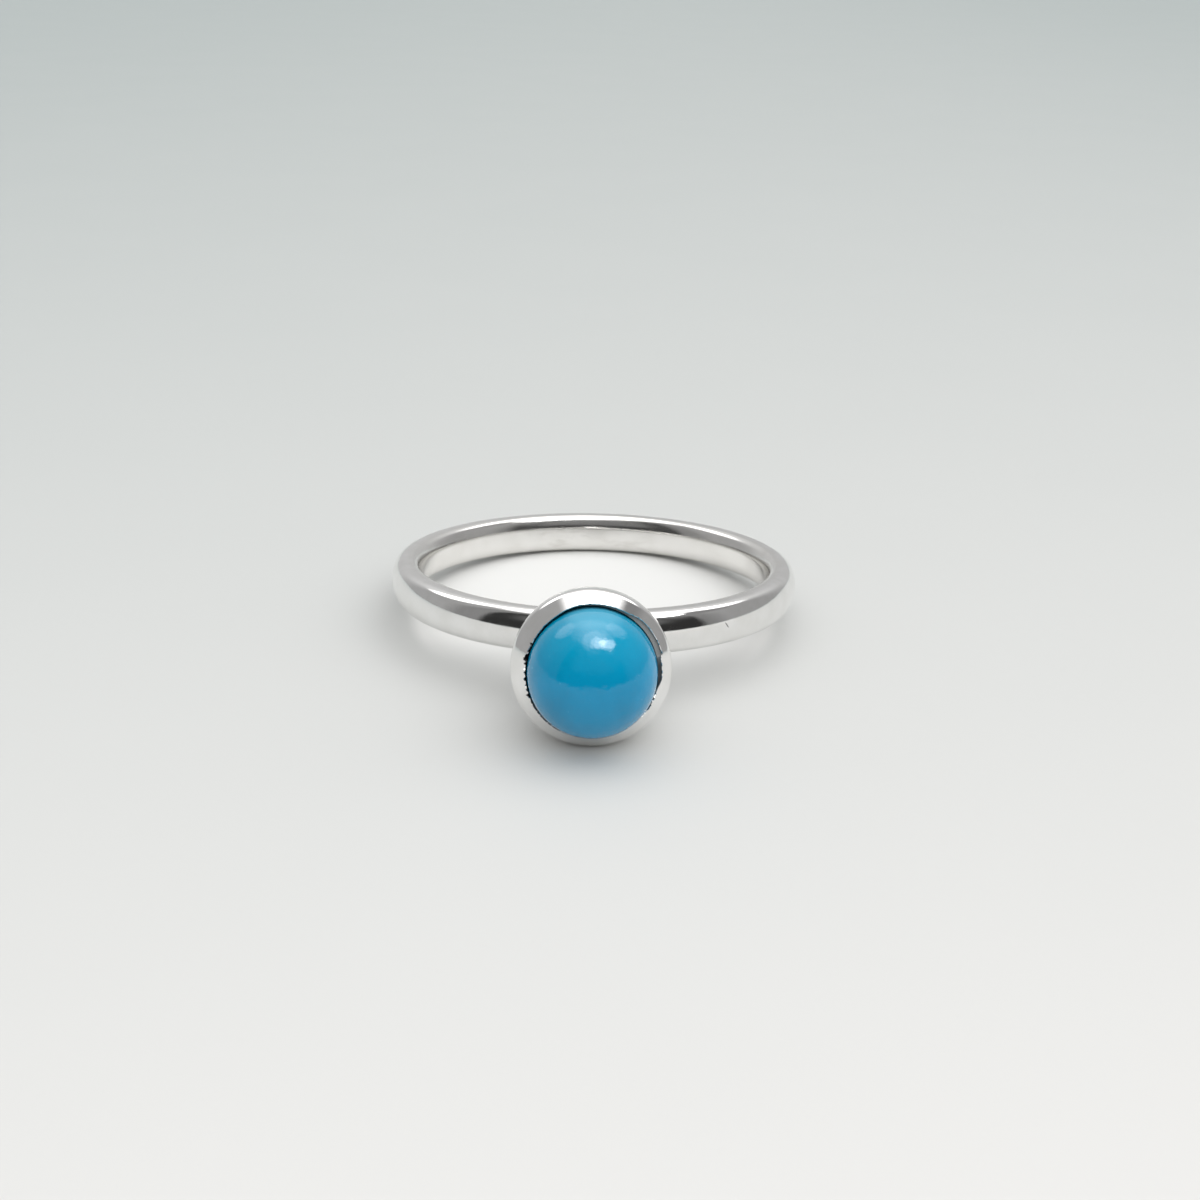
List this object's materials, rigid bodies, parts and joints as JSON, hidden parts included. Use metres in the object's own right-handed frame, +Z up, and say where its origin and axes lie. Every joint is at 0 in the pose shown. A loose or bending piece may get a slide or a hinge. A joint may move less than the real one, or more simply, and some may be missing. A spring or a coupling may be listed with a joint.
{
  "type": "turquoise ring",
  "caption": "Polished silver finger ring with a half-round band and a round turquoise cabochon set in a bowl-shaped bezel cup, lying on its side.",
  "frame": {"origin": "on the surface that the ring lies on, under the middle of its box", "axes": "+Y from the stone to the back of the band, +Z up from the surface, +X across the band; the stone faces -Y"},
  "size_m": [0.0198, 0.0264, 0.0067],
  "materials": {
    "silver": "polished sterling silver",
    "turquoise": "polished opaque turquoise"
  },
  "bodies": {
    "root": {"band_and_bezel": "silver", "cabochon": "turquoise"}
  },
  "joints": []
}
